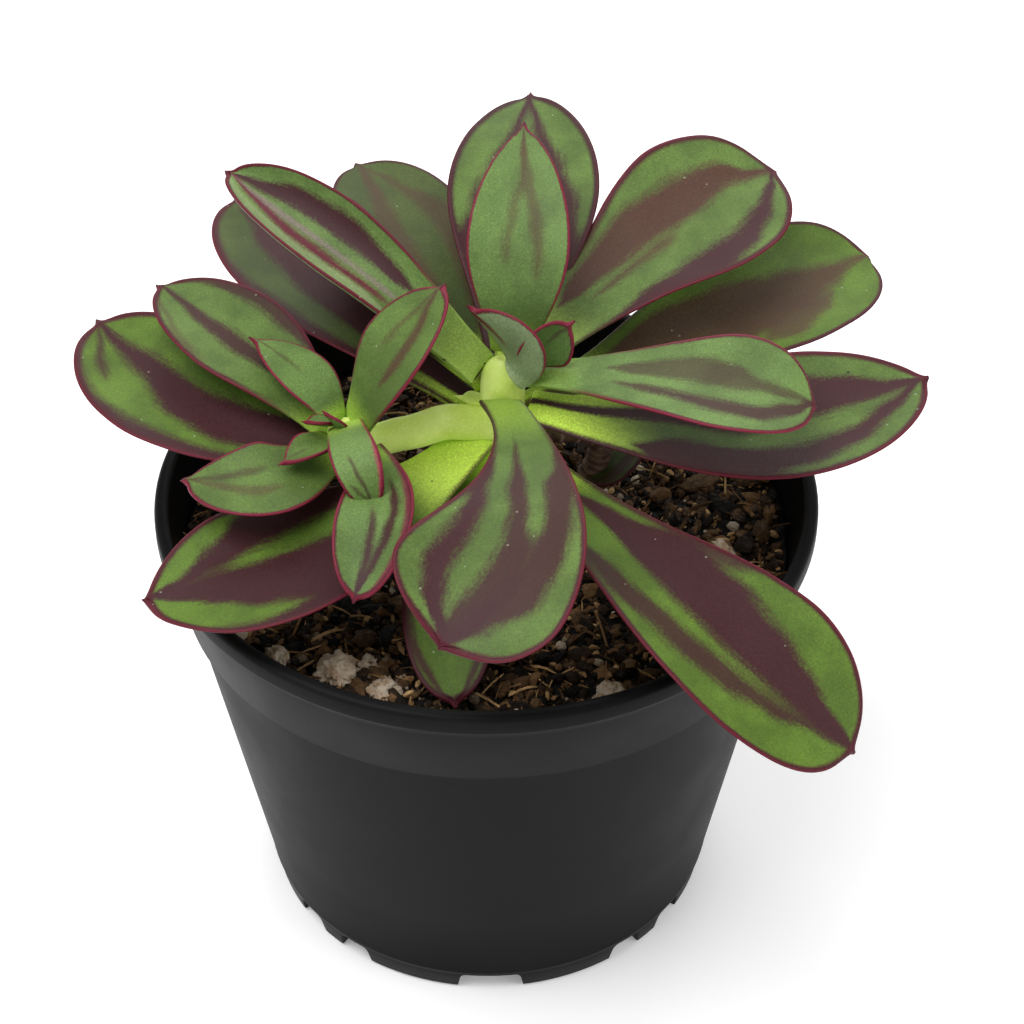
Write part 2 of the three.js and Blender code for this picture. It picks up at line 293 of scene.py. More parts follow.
def smooth_step(tree, value, low, high, to_low=0.0, to_high=1.0):
    node = add_node(tree, "ShaderNodeMapRange", {"Value": value, "From Min": low, "From Max": high,
                    "To Min": to_low, "To Max": to_high}, interpolation_type="SMOOTHSTEP")
    return node.outputs["Result"]


def mix_colour(tree, amount, first, second, blend="MIX"):
    node = add_node(tree, "ShaderNodeMix", data_type="RGBA", blend_type=blend)
    for place, value in ((0, amount), (6, first), (7, second)):
        if isinstance(value, bpy.types.NodeSocket):
            tree.links.new(value, node.inputs[place])
        else:
            node.inputs[place].default_value = value
    return node.outputs[2]


def new_group(name, inputs, outputs):
    """A shared node group with its inputs and outputs, which are all numbers but Vector."""
    tree = bpy.data.node_groups.new(name, "ShaderNodeTree")
    for socket in inputs + outputs:
        tree.interface.new_socket(socket, in_out="INPUT" if socket in inputs else "OUTPUT",
                                  socket_type="NodeSocketVector" if socket == "Vector" else "NodeSocketFloat")
    return tree, tree.nodes.new("NodeGroupInput").outputs, tree.nodes.new("NodeGroupOutput").inputs


# Specks: small round spots, sparse and of varied strength, for dust, hairs and leaf pits.
specks, given, made = new_group("specks", ("Vector", "Scale", "Radius", "Share"), ("Mask",))
cells = add_node(specks, "ShaderNodeTexVoronoi", {"Vector": given["Vector"], "Scale": given["Scale"]},
                 feature="F1")
inside = math_node(specks, "LESS_THAN", cells.outputs["Distance"], given["Radius"])
picked = math_node(specks, "LESS_THAN", cells.outputs["Color"], given["Share"])
specks.links.new(times(specks, inside, picked), made["Mask"])


def speck_mask(tree, vector, scale, radius, share):
    # the tree goes in first, because it makes the sockets
    node = add_node(tree, "ShaderNodeGroup", node_tree=specks)
    tree.links.new(vector, node.inputs["Vector"])
    for socket, value in (("Scale", scale), ("Radius", radius), ("Share", share)):
        node.inputs[socket].default_value = value
    return node.outputs["Mask"]


plastic, tree, shader = new_material("black_plastic")
where = object_place(tree)
cloud = noise_value(tree, where, 45.0, 6.0, 0.6)
grain = noise_value(tree, where, 1500.0, 3.0)
dust = speck_mask(tree, where, 260.0, 0.055, 0.16)
colour = mix_colour(tree, smooth_step(tree, cloud, 0.3, 0.7),
                    (0.0042, 0.0043, 0.0044, 1), (0.0075, 0.0077, 0.0079, 1))
colour = mix_colour(tree, times(tree, dust, 0.4), colour, (0.25, 0.25, 0.24, 1))
tree.links.new(colour, shader.inputs["Base Color"])
roughness = smooth_step(tree, cloud, 0.25, 0.75, 0.4, 0.52)
tree.links.new(math_node(tree, "ADD", roughness, times(tree, dust, 0.3)), shader.inputs["Roughness"])
shader.inputs["Specular IOR Level"].default_value = 0.06
add_bump(tree, shader, grain, 0.12, 0.0001)
pot.data.materials.append(plastic)
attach(pot, "root")
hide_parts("pot")

# ---------------------------------------------------------------------------
# Potting mix: damp bark, fibre and grit pressed into the pot up to about a centimetre
# under its rim. A lumpy bed fills the pot, and loose crumbs and fibres lie on it.
# ---------------------------------------------------------------------------
soil_level = 70 * mm
soil_radius = rim_radius - 4.5 * mm


def soil_height(x, y):
    """Height of the bed at a place measured from the pot's axis."""
    place = Vector((x, y, 0))
    lumps = noise.fractal(place * 160, 0.9, 2.1, 4) * 1.1
    dips = noise.noise(place * 45) * 1.3
    return soil_level + (lumps + dips) * mm


wall_reach = soil_radius
begin()
bed_cells = 170
bpy.ops.mesh.primitive_grid_add(x_subdivisions=bed_cells, y_subdivisions=bed_cells, size=2)
bed = bpy.context.object
bed.name = "mix_bed"
for vertex in bed.data.vertices:
    x, y = vertex.co.x, vertex.co.y
    disc_x = x * math.sqrt(1 - y * y / 2) * soil_radius
    disc_y = y * math.sqrt(1 - x * x / 2) * soil_radius
    vertex.co = (axis_x + disc_x, axis_y + disc_y, soil_height(disc_x, disc_y))
bpy.ops.object.mode_set(mode="EDIT")
select_open_edges()
for drop, height in ((8 * mm, 62 * mm), (54 * mm, 8 * mm)):
    bpy.ops.mesh.extrude_edges_move(TRANSFORM_OT_translate={"value": (0, 0, -drop)})
    step = (wall_radius(height - 1.5 * mm) - wall - 0.4 * mm) / wall_reach
    bpy.ops.transform.resize(value=(step, step, 1), center_override=(axis_x, axis_y, height))
    wall_reach *= step
bpy.ops.mesh.edge_face_add()
face_outwards()
smooth(bed)


def mix_material(name, dark, middle, light, fine_scale):
    """Crumbly damp matter: a tone for each crumb, with finer mottling and bump over it."""
    material, tree, shader = new_material(name)
    where = object_place(tree)
    tone = add_node(tree, "ShaderNodeAttribute", attribute_name="tone").outputs["Fac"]
    mottle = noise_value(tree, where, fine_scale, 6.0, 0.7)
    value = math_node(tree, "ADD", times(tree, tone, 0.75), times(tree, mottle, 0.5))
    ramp = add_node(tree, "ShaderNodeValToRGB", {"Fac": value})
    ramp.color_ramp.elements[0].position = 0.3
    ramp.color_ramp.elements[0].color = dark
    ramp.color_ramp.elements[1].position = 1.0
    ramp.color_ramp.elements[1].color = light
    ramp.color_ramp.elements.new(0.68).color = middle
    tree.links.new(ramp.outputs["Color"], shader.inputs["Base Color"])
    tree.links.new(smooth_step(tree, mottle, 0.3, 0.7, 0.9, 0.45), shader.inputs["Roughness"])
    shader.inputs["Specular IOR Level"].default_value = 0.2
    add_bump(tree, shader, mottle, 0.9, 0.0004)
    return material


bed_mix = mix_material("damp_bark_mix", (0.002, 0.0015, 0.001, 1), (0.01, 0.006, 0.004, 1),
                       (0.06, 0.035, 0.018, 1), 900.0)
bed.data.materials.append(bed_mix)
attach(bed, "root")
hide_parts("potting_mix")

chance = random.Random(11)


def scattered(name, shape, count, size_range, stretch, material, sink):
    """Many copies of one small shape in one mesh, each turned, sized and toned by chance."""
    corners = np.array([vertex.co[:] for vertex in shape.data.vertices])
    faces = [tuple(polygon.vertices) for polygon in shape.data.polygons]
    all_corners, all_faces, tones = [], [], []
    for index in range(count):
        radius = (soil_radius - 0.8 * mm) * math.sqrt(chance.random())
        angle = chance.uniform(0, 2 * math.pi)
        x, y = radius * math.cos(angle), radius * math.sin(angle)
        size = size_range[0] + (size_range[1] - size_range[0]) * chance.random() ** 2.2
        scale = np.array([size * chance.uniform(1, stretch), size * chance.uniform(0.6, 1),
                          size * chance.uniform(0.5, 0.9)])
        tilt = Matrix.Rotation(chance.uniform(0, 6.28), 3, "Z") @ Matrix.Rotation(chance.uniform(-0.7, 0.7), 3,
            "Y")
        jitter = np.array([[chance.uniform(0.75, 1.25) for _ in range(3)] for _ in corners])
        placed = (corners * scale * jitter) @ np.array(tilt).T
        placed += (axis_x + x, axis_y + y, soil_height(x, y) + sink * size)
        start = len(all_corners)
        all_corners.extend(placed.tolist())
        all_faces.extend(tuple(corner + start for corner in face) for face in faces)
        tones.extend([chance.uniform(0.0, 1.0)] * len(corners))
    mesh = bpy.data.meshes.new(name)
    mesh.from_pydata(all_corners, [], all_faces)
    mesh.attributes.new("tone", "FLOAT", "POINT").data.foreach_set("value", tones)
    piece = bpy.data.objects.new(name, mesh)
    bpy.context.collection.objects.link(piece)
    mesh.materials.append(material)
    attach(piece, "root")
    bpy.data.objects.remove(shape)
    return piece


def crumb_shape(subdivisions=1):
    begin()
    bpy.ops.mesh.primitive_ico_sphere_add(subdivisions=subdivisions, radius=1)
    return bpy.context.object


def fibre_shape():
    """A splinter: a thin four-sided rod, bent in the middle."""
    begin()
    bpy.ops.mesh.primitive_cylinder_add(vertices=4, radius=0.11, depth=2, rotation=(0, math.pi / 2, 0))
    splinter = bpy.context.object
    settle(splinter)
    bpy.ops.object.mode_set(mode="EDIT")
    bpy.ops.mesh.select_all(action="SELECT")
    bpy.ops.mesh.subdivide(number_cuts=2)
    bpy.ops.object.mode_set(mode="OBJECT")
    for vertex in splinter.data.vertices:
        vertex.co.z += 0.25 * (1 - vertex.co.x ** 2)
    return splinter


bark_mix = mix_material("bark_crumbs", (0.002, 0.0014, 0.0008, 1), (0.026, 0.013, 0.0055, 1),
                        (0.17, 0.09, 0.036, 1), 1500.0)
tan_mix = mix_material("tan_bark", (0.02, 0.01, 0.004, 1), (0.2, 0.1, 0.038, 1), (0.6, 0.38, 0.17, 1), 1500.0)
grit_mix = mix_material("pale_grit", (0.1, 0.065, 0.04, 1), (0.34, 0.26, 0.18, 1), (0.62, 0.53, 0.42, 1),
                        1800.0)
scattered("bark_crumbs", crumb_shape(), 8500, (0.3 * mm, 1.25 * mm), 1.6, bark_mix, 0.3)
scattered("bark_chips", crumb_shape(2), 300, (1.1 * mm, 2.3 * mm), 1.7, bark_mix, 0.35)
scattered("tan_crumbs", crumb_shape(), 2700, (0.2 * mm, 0.85 * mm), 2.0, tan_mix, 0.8)
scattered("bark_fibres", fibre_shape(), 1100, (0.9 * mm, 2.6 * mm), 1.5, tan_mix, 0.4)
scattered("pale_grit", crumb_shape(2), 420, (0.2 * mm, 1.0 * mm), 1.25, grit_mix, 0.8)

# ---------------------------------------------------------------------------
# Pumice grains: light volcanic stones with pores and crags, stained by the mix, lying
# half sunk in it. Each takes the place and size of its own solid.
# ---------------------------------------------------------------------------
pumice, tree, shader = new_material("stained_pumice")
where = object_place(tree)
stain = noise_value(tree, where, 420.0, 5.0, 0.65)
pores = add_node(tree, "ShaderNodeTexVoronoi", {"Vector": where, "Scale": 1300.0}).outputs["Distance"]
colour = mix_colour(tree, smooth_step(tree, stain, 0.35, 0.7), (0.5, 0.42, 0.32, 1), (0.27, 0.16, 0.08, 1))
# dark pores where the stain lies: the mix's stain in the holes, with the shade inside them painted in
pore_shade_mask = times(tree, smooth_step(tree, pores, 0.0, 0.32, 1.0, 0.0), smooth_step(tree, stain, 0.4, 0.6))
colour = mix_colour(tree, times(tree, pore_shade_mask, 0.8), colour, (0.06, 0.035, 0.02, 1))
tree.links.new(colour, shader.inputs["Base Color"])
shader.inputs["Roughness"].default_value = 0.9
height = math_node(tree, "SUBTRACT", stain, pore_shade_mask)
add_bump(tree, shader, height, 0.8, 0.0003)

for index in range(12):
    node_name = f"grain_{index + 1:02d}"
    low, high = (Vector(corner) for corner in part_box(node_name))
    middle, size = (low + high) / 2, (high - low) / 2
    craggy = 0.06 if index in (0, 7) else 0.34
    begin()
    bpy.ops.mesh.primitive_ico_sphere_add(subdivisions=5, radius=1)
    stone = bpy.context.object
    stone.name = f"pumice_{index + 1:02d}"
    for vertex in stone.data.vertices:
        direction = vertex.co.normalized()
        seed = direction + Vector((7.3 * index, 2.1 * index, 0))
        lumps = noise.fractal(seed * 1.7, 0.8, 2.0, 4) * craggy
        cavities = min(noise.noise(seed * 4.5) + 0.25, 0) * craggy
        reach = 0.95 + lumps + cavities
        vertex.co = middle + Vector((direction.x * size.x, direction.y * size.y, direction.z * size.z)) * reach
    smooth(stone)
    stone.data.materials.append(pumice)
    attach(stone, "root")
    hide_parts(node_name)


# ---------------------------------------------------------------------------
# Stems: a thin woody stem with the ringed scars of fallen leaves comes out of the mix
# and turns up into a short green crown, and a pale green side branch leaves the crown.
# ---------------------------------------------------------------------------
def along(points, share):
    """The place on a smooth line through the points, with share from 0 to 1."""
    reach = share * (len(points) - 1)
    span = min(int(reach), len(points) - 2)
    t = reach - span
    p1, p2 = Vector(points[span]), Vector(points[span + 1])
    p0 = Vector(points[span - 1]) if span else p1 * 2 - p2
    p3 = Vector(points[span + 2]) if span + 2 < len(points) else p2 * 2 - p1
    spot = p1 * 2 + (p2 - p0) * t + (p0 * 2 - p1 * 5 + p2 * 4 - p3) * t * t
    spot += (p1 * 3 - p0 - p2 * 3 + p3) * t ** 3
    return spot / 2 * mm


def stem(name, points, radius_at, rings, sides, material, node_name):
    """A tube along the points, which are millimetres from the pot's axis. radius_at says its radius."""
    begin()
    bpy.ops.mesh.primitive_grid_add(x_subdivisions=sides, y_subdivisions=rings, size=2)
    piece = bpy.context.object
    piece.name = name
    for vertex in piece.data.vertices:
        share = (vertex.co.y + 1) / 2
        turn = (vertex.co.x + 1) * math.pi
        spot = along(points, share)
        ahead = (along(points, min(share + 0.01, 1)) - along(points, max(share - 0.01, 0))).normalized()
        side = ahead.cross(Vector((0.31, 0.9, 0.17))).normalized()
        over = side.cross(ahead)
        radius = radius_at(share, turn)
        vertex.co = spot + (side * math.cos(turn) + over * math.sin(turn)) * radius + Vector((axis_x, axis_y,
            0))
    bpy.ops.object.mode_set(mode="EDIT")
    bpy.ops.mesh.select_all(action="SELECT")
    bpy.ops.mesh.remove_doubles(threshold=1e-6)
    select_open_edges()
    bpy.ops.mesh.fill()
    face_outwards()
    smooth(piece)
    piece.data.materials.append(material)
    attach(piece, "root")
    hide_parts(node_name)
    return piece


scar_rings = 16
bark, tree, shader = new_material("ringed_bark")
around = add_node(tree, "ShaderNodeUVMap").outputs["UV"]
where = object_place(tree)
split = add_node(tree, "ShaderNodeSeparateXYZ", {"Vector": around})
fleck = noise_value(tree, where, 700.0, 5.0)
wander = math_node(tree, "ADD", split.outputs["Y"], times(tree, fleck, 0.02))
ring = math_node(tree, "SINE", times(tree, wander, 2 * math.pi * scar_rings))
ring_mask = smooth_step(tree, ring, 0.62, 0.95)
colour = mix_colour(tree, smooth_step(tree, fleck, 0.35, 0.65), (0.075, 0.034, 0.024, 1), (0.18, 0.1, 0.062, 1))
colour = mix_colour(tree, times(tree, ring_mask, 0.75), colour, (0.42, 0.27, 0.2, 1))
tree.links.new(colour, shader.inputs["Base Color"])
shader.inputs["Roughness"].default_value = 0.7
add_bump(tree, shader, fleck, 0.6, 0.0003)

woody_points = [(13, 10, 62), (14.5, 7, 71), (17, 5.5, 78), (18.5, 5, 82), (18, 4.3, 86.5), (11.5, 3.3, 88.5),
                (5, 3, 86)]
woody = stem("woody_stem", woody_points,
             lambda share, turn: (1.8 + 0.25 * max(math.sin(share * 2 * math.pi * scar_rings), 0) ** 3) * mm,
             260, 24, bark, "stem_woody")


def green_skin(name, deep, light, pale):
    """Smooth living skin: soft mottling, a little light let through, a painted glow in its own colour, a low
    sheen.
    """
    material, tree, shader = new_material(name)
    where = object_place(tree)
    broad = noise_value(tree, where, 130.0, 4.0)
    fine = noise_value(tree, where, 2600.0, 3.0)
    colour = mix_colour(tree, smooth_step(tree, broad, 0.35, 0.65), deep, light)
    colour = mix_colour(tree, times(tree, smooth_step(tree, fine, 0.45, 0.75), 0.35), colour, pale)
    pits = speck_mask(tree, where, 380.0, 0.1, 0.05)
    colour = mix_colour(tree, times(tree, pits, 0.5), colour, (0.12, 0.14, 0.02, 1))
    tree.links.new(colour, shader.inputs["Base Color"])
    tree.links.new(smooth_step(tree, fine, 0.3, 0.7, 0.42, 0.55), shader.inputs["Roughness"])
    shader.inputs["Subsurface Weight"].default_value = 0.3
    # painted light: the skin glows faintly in its own colour, standing in for light let through the pale flesh
    tree.links.new(colour, shader.inputs["Emission Color"])
    shader.inputs["Emission Strength"].default_value = 0.15
    shader.inputs["Subsurface Radius"].default_value = (0.6, 0.9, 0.2)
    shader.inputs["Subsurface Scale"].default_value = 0.0015
    add_bump(tree, shader, fine, 0.15, 0.0001)
    return material


# the stem colours are lifted above the stem's own pale green to make up for the shade of the leaves over it:
# painted light
stem_skin = green_skin("pale_stem_skin", (0.5, 0.64, 0.1, 1), (0.64, 0.77, 0.2, 1), (0.74, 0.84, 0.34, 1))
crown_points = [(2.5, 3, 83), (2.5, 3, 88), (2.5, 3, 94), (2.5, 3, 99), (2.5, 2.8, 104)]
crown = stem("crown_stem", crown_points,
             lambda share, turn: (3.6 + 0.2 * math.sin(3 * turn + 9 * share)) * mm
             * min(0.1 + share / 0.14, 1) ** 0.5 * max(1 - (max(share - 0.62, 0) / 0.38) ** 2, 0.02) ** 0.5,
             60, 32, stem_skin, "stem_crown")
branch_points = [(1, 1, 92), (-6, -0.5, 93.5), (-13, -2, 92.5), (-19, -3.5, 92), (-22, -5, 93.5),
                 (-22.6, -6, 96.5)]
branch = stem("side_branch", branch_points,
              lambda share, turn: (3.0 - 0.65 * share + 0.1 * math.sin(26 * share + turn)) * mm, 80, 32,
              stem_skin, "stem_branch")


# ---------------------------------------------------------------------------
# Leaves: fleshy paddles on a narrow stalk, with a crimson margin and a small spike at the
# tip. Purple-brown stripes run up each blade and meet at the tip. The underside is paler.
# foot, middle and tip are midrib points in millimetres from the pot's axis, as in the solids.
# ---------------------------------------------------------------------------
def leaf_blade(t, waist, belly, point, neck):
    """The blade's share of its full width, from the foot at t = 0 to the tip at 1."""
    if t < belly:
        rise = (t / belly) ** neck
        return waist + (1 - waist) * rise * rise * (3 - 2 * rise)
    return max(1 - ((t - belly) / (1 - belly)) ** 2, 0) ** point


def leaf_shape(name, foot, middle, tip, width, fold=25, roll=0, waist=0.28, belly=0.62, point=0.55,
               neck=1, thick=2.4, face=None, wave=0.35):
    """The leaf's mesh. UV x runs across from 0 to 1, and y along it from the foot to the tip."""
    begin()
    big = width >= 12
    columns, rows = (14, 44) if big else (8, 26)
    bpy.ops.mesh.primitive_grid_add(x_subdivisions=columns, y_subdivisions=rows, size=2)
    leaf = bpy.context.object
    leaf.name = name
    foot, middle, tip = Vector(foot), Vector(middle), Vector(tip)
    bend = (middle - foot * 0.16 - tip * 0.36) / 0.48
    heading = math.atan2(tip.y - foot.y, tip.x - foot.x) if face is None else math.radians(face)
    across = Vector((-math.sin(heading), math.cos(heading), 0))

    def midrib(t):
        return foot * (1 - t) ** 2 + bend * 2 * t * (1 - t) + tip * t * t

    length = sum((midrib((step + 1) / 20) - midrib(step / 20)).length for step in range(20))
    spike = 1.3 / length
    curl = math.radians(fold)

    def half_width(t):
        body = width / 2 * leaf_blade(min(t / (1 - spike * 0.8), 1), waist, belly, point, neck)
        return max(body, (0.75 if big else 0.5) * min((1 - t) / spike, 1), 0.08)

    edge_line = np.array([(side * half_width(t), t * length)
                          for t in np.linspace(0, 1, 400) for side in (-1, 1)])
    margins, weights, uvs = [], [], []
    quirk = sum(ord(letter) for letter in name)
    for vertex in leaf.data.vertices:
        v = vertex.co.x
        t = 1 - (1 - (vertex.co.y + 1) / 2) ** 1.45
        uvs.append(((v + 1) / 2, t))
        centre = midrib(t)
        tangent = ((bend - foot) * (1 - t) + (tip - bend) * t).normalized()
        side = (across - tangent * across.dot(tangent)).normalized()
        side = Matrix.Rotation(math.radians(roll), 3, tangent) @ side
        up = tangent.cross(side)
        half = half_width(t)
        angle = curl * v
        ripple = wave * (width / 28) * v * v * math.sin(9 * t + 2.4 * v + quirk) * t
        spot = (centre + side * (half * math.sin(angle) / curl)
                + up * (half * (1 - math.cos(angle)) / curl + ripple))
        spot += Vector((0, 0, 0.12)) * noise.noise(spot * 0.12) * (width / 10)
        vertex.co = spot * mm + Vector((axis_x, axis_y, 0))
        gaps = edge_line - (v * half, t * length)
        margins.append(float(np.sqrt((gaps ** 2).sum(axis=1).min())))
        body = 0.42 + (thick * (1.25 - 0.6 * t) - 0.42) * (1 - v * v)
        weights.append(max(min(body, 2.2 * half) / (thick * 1.3), 0.05))
    thickness = leaf.vertex_groups.new(name="thickness")
    for index, weight in enumerate(weights):
        thickness.add([index], weight, "REPLACE")
    leaf.data.attributes.new("margin", "FLOAT", "POINT").data.foreach_set("value", margins)
    uv_layer = leaf.data.uv_layers.active.data
    for loop in leaf.data.loops:
        uv_layer[loop.index].uv = uvs[loop.vertex_index]
    apply_modifier(leaf, "SOLIDIFY", thickness=thick * 1.3 * mm, offset=0, vertex_group="thickness",
                   material_offset=1, material_offset_rim=0)
    apply_modifier(leaf, "SUBSURF", levels=1, render_levels=1)
    smooth(leaf)
    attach(leaf, "root")
    return leaf


# One painted stripe: a band round a wandering centre line, with feathered sides.
stripe_group, given, made = new_group("leaf_stripe", ("Across", "Centre", "Half Width"), ("Mask",))
line = math_node(stripe_group, "MULTIPLY_ADD", given["Centre"], 2.5, -1.25)
away = math_node(stripe_group, "ABSOLUTE", math_node(stripe_group, "SUBTRACT", given["Across"], line))
inner = math_node(stripe_group, "SUBTRACT", given["Half Width"], away)
present = smooth_step(stripe_group, given["Half Width"], 0.0, 0.05)
edge = smooth_step(stripe_group, inner, -0.11, 0.1)
stripe_group.links.new(times(stripe_group, edge, present), made["Mask"])

# Leaf skin: the two noises and specks that every blade shares.
skin_group, _, made = new_group("leaf_skin", (), ("Feather", "Bloom", "Hairs", "Pits"))
where = object_place(skin_group)
uv = add_node(skin_group, "ShaderNodeUVMap").outputs["UV"]
stretched = add_node(skin_group, "ShaderNodeMapping",
                     {"Vector": uv, "Scale": (26.0, 7.0, 1.0)}).outputs["Vector"]
slow = noise_value(skin_group, stretched, 1.0, 5.0, 0.62)
fast = noise_value(skin_group, where, 2300.0, 2.0)
feather = math_node(skin_group, "ADD", times(skin_group, math_node(skin_group, "SUBTRACT", slow, 0.5), 0.2),
                    times(skin_group, math_node(skin_group, "SUBTRACT", fast, 0.5), 0.16))
skin_group.links.new(feather, made["Feather"])
bloom = add_node(skin_group, "ShaderNodeTexNoise", {"Vector": where, "Scale": 3400.0, "Detail": 2.0,
    "Distortion": 1.2})
skin_group.links.new(bloom.outputs["Fac"], made["Bloom"])
skin_group.links.new(speck_mask(skin_group, where, 800.0, 0.14, 0.12), made["Hairs"])
skin_group.links.new(speck_mask(skin_group, where, 480.0, 0.15, 0.08), made["Pits"])


def leaf_face(name, green, purple, stripes, stalk=(0.5, 0.7, 0.08, 1), stalk_end=0.2, band=1.2,
              frost=0.24, rim=(0.11, 0.0055, 0.016, 1)):
    """One face. Each stripe is a list of (along, across, half width) places, with its strength
    and colour: along runs from 0 at the foot to 1 at the tip, across from -1 to 1."""
    material, tree, shader = new_material(name)
    uv = add_node(tree, "ShaderNodeUVMap").outputs["UV"]
    split = add_node(tree, "ShaderNodeSeparateXYZ", {"Vector": uv})
    skin = add_node(tree, "ShaderNodeGroup", node_tree=skin_group).outputs
    across = math_node(tree, "MULTIPLY_ADD", split.outputs["X"], 2.0, -1.0)
    across = math_node(tree, "ADD", across, skin["Feather"])
    length = split.outputs["Y"]
    margin = add_node(tree, "ShaderNodeAttribute", attribute_name="margin").outputs["Fac"]
    broad = noise_value(tree, object_place(tree), 110.0, 4.0)
    deeper = tuple(channel * 0.68 for channel in green[:3]) + (1,)
    colour = mix_colour(tree, smooth_step(tree, broad, 0.35, 0.65), green, deeper)
    stalk_reach = math_node(tree, "ADD", length, times(tree, skin["Feather"], 0.3))
    colour = mix_colour(tree, smooth_step(tree, stalk_reach, stalk_end * 0.2, stalk_end, 1.0, 0.0), colour,
                        stalk)
    for places, strength, *tint in stripes:
        ramp = add_node(tree, "ShaderNodeValToRGB", {"Fac": length})
        stops = ramp.color_ramp.elements
        stops.remove(stops[1])
        for index, (place, centre, half) in enumerate(places):
            stop = stops[0] if index == 0 else stops.new(place)
            stop.position = place
            stop.color = ((centre + 1.25) / 2.5, half, 0, 1)
        ramp.color_ramp.interpolation = "EASE"
        parts = add_node(tree, "ShaderNodeSeparateColor", {"Color": ramp.outputs["Color"]}).outputs
        band_node = add_node(tree, "ShaderNodeGroup",
                             {"Across": across, "Centre": parts["Red"], "Half Width": parts["Green"]},
                             node_tree=stripe_group)
        amount = times(tree, band_node.outputs["Mask"], strength)
        colour = mix_colour(tree, amount, colour, tint[0] if tint else purple)
    # the dark margin fades in past the stalk, and its inner side is ragged
    ragged = math_node(tree, "ADD", margin, times(tree, skin["Feather"], 2.6))
    band_mask = smooth_step(tree, ragged, band * 0.45, band * 1.15, 1.0, 0.0)
    band_start = smooth_step(tree, length, stalk_end * 0.6, stalk_end + 0.25)
    dark_edge = tuple(channel * 0.5 + other * 0.3 for channel, other in zip(purple[:3], rim[:3])) + (1,)
    colour = mix_colour(tree, times(tree, band_mask, band_start), colour, dark_edge)
    # fine pale flecks lift the tone a little, and dots of dark pits and pale hairs lie over it
    fleck = smooth_step(tree, skin["Bloom"], 0.35, 0.75, 1.0 - frost * 0.5, 1.0 + frost * 1.6)
    colour = mix_colour(tree, 1.0, colour, fleck, "MULTIPLY")
    rim_start = smooth_step(tree, length, stalk_end * 0.5, stalk_end + 0.12)
    rim_mask = times(tree, smooth_step(tree, margin, 0.05, 0.36, 1.0, 0.0), rim_start)
    colour = mix_colour(tree, rim_mask, colour, rim)
    colour = mix_colour(tree, times(tree, skin["Pits"], 0.8), colour, (0.02, 0.018, 0.01, 1))
    colour = mix_colour(tree, times(tree, skin["Hairs"], 0.35), colour, (0.5, 0.52, 0.4, 1))
    colour = mix_colour(tree, smooth_step(tree, length, 0.972, 0.992), colour, (0.07, 0.005, 0.012, 1))
    tree.links.new(colour, shader.inputs["Base Color"])
    tree.links.new(smooth_step(tree, skin["Bloom"], 0.3, 0.7, 0.42, 0.6), shader.inputs["Roughness"])
    shader.inputs["Specular IOR Level"].default_value = 0.22
    shader.inputs["Subsurface Weight"].default_value = 0.1
    shader.inputs["Subsurface Radius"].default_value = (0.5, 0.8, 0.2)
    shader.inputs["Subsurface Scale"].default_value = 0.001
    add_bump(tree, shader, skin["Bloom"], 0.3, 0.0002)
    return material


green = (0.1, 0.165, 0.034, 1)
bright_green = (0.096, 0.168, 0.019, 1)
# the leaf green darkened for the leaves that lie in shade at the back and low down: painted shade
shaded_green = (0.062, 0.09, 0.02, 1)
pale_green = (0.12, 0.198, 0.05, 1)
purple = (0.042, 0.0105, 0.0125, 1)
brown_purple = (0.066, 0.024, 0.017, 1)
lavender = (0.2, 0.14, 0.14, 1)
under_green = (0.18, 0.245, 0.1, 1)
soft_rim = (0.17, 0.01, 0.028, 1)
# the crimson margin darkened as it looks on leaves in shade and on the undersides: painted shade
shaded_rim = (0.06, 0.007, 0.013, 1)

under_skin = leaf_face("leaf_underside", under_green, purple, [], stalk=(0.42, 0.55, 0.1, 1), band=0.5,
                       frost=0.2, rim=shaded_rim)
young_under = leaf_face("young_underside", under_green, purple,
                        [([(0.3, 0, 0), (0.45, 0, 0.09), (0.75, 0, 0.15), (1, 0, 0.35)], 0.9,
                          (0.12, 0.014, 0.03, 1))],
                        stalk=(0.42, 0.5, 0.2, 1), stalk_end=0.3, band=1.1, frost=0.15, rim=soft_rim)

